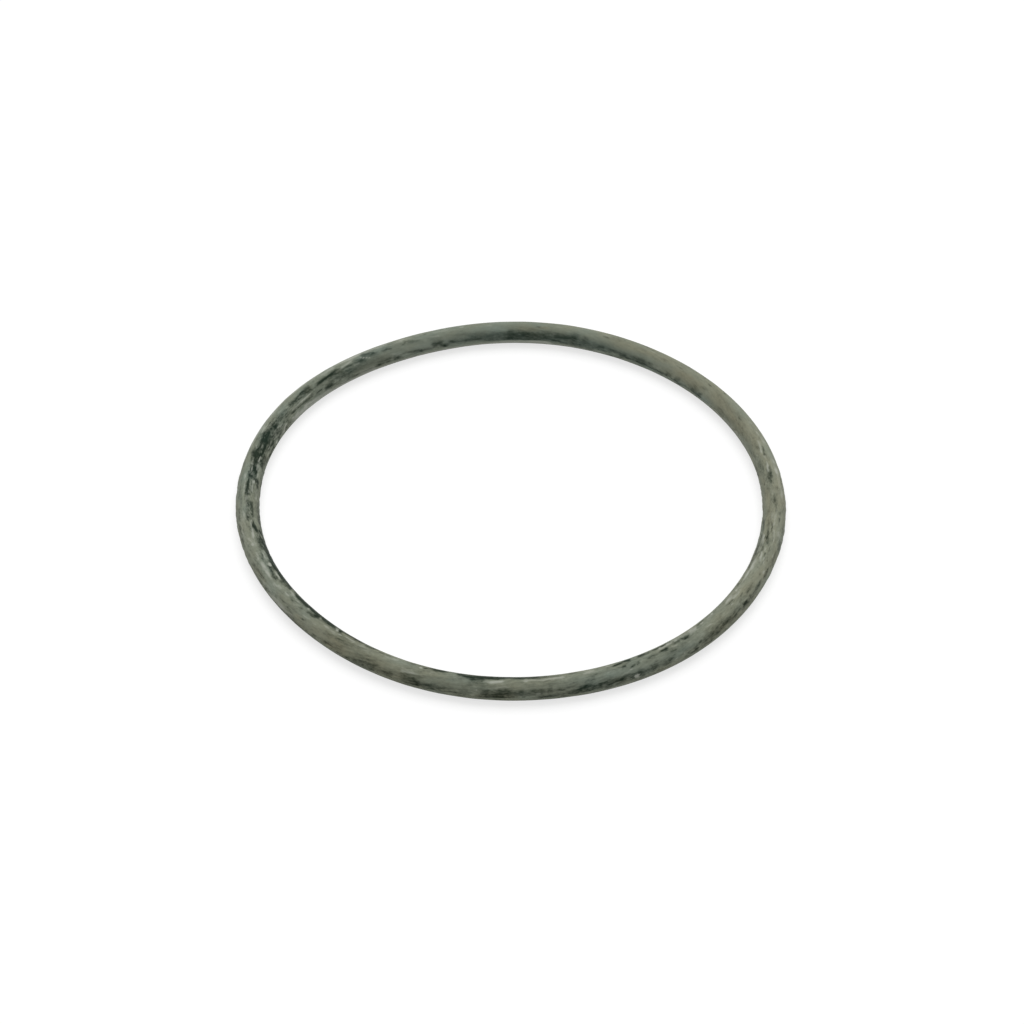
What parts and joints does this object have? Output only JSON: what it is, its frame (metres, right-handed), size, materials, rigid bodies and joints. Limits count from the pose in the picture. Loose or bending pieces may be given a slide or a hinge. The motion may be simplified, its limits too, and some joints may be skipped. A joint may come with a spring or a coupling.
{
  "type": "o-ring",
  "caption": "Round-section rubber sealing ring, lying flat, with a trimmed mould line round its bore and rim and a dusty, rubbed surface.",
  "frame": {"origin": "centre of the ring, where its axis crosses its mid-plane", "axes": "+Z along the ring's axis, up as it lies; +X to the right and +Y away from the viewer in the pictured pose"},
  "size_m": [0.0862, 0.0862, 0.0036],
  "materials": {
    "rubber": "matt, dusty grey-green bloom rubbed to near black in streaks"
  },
  "bodies": {
    "root": {"o_ring": "rubber"}
  },
  "joints": []
}
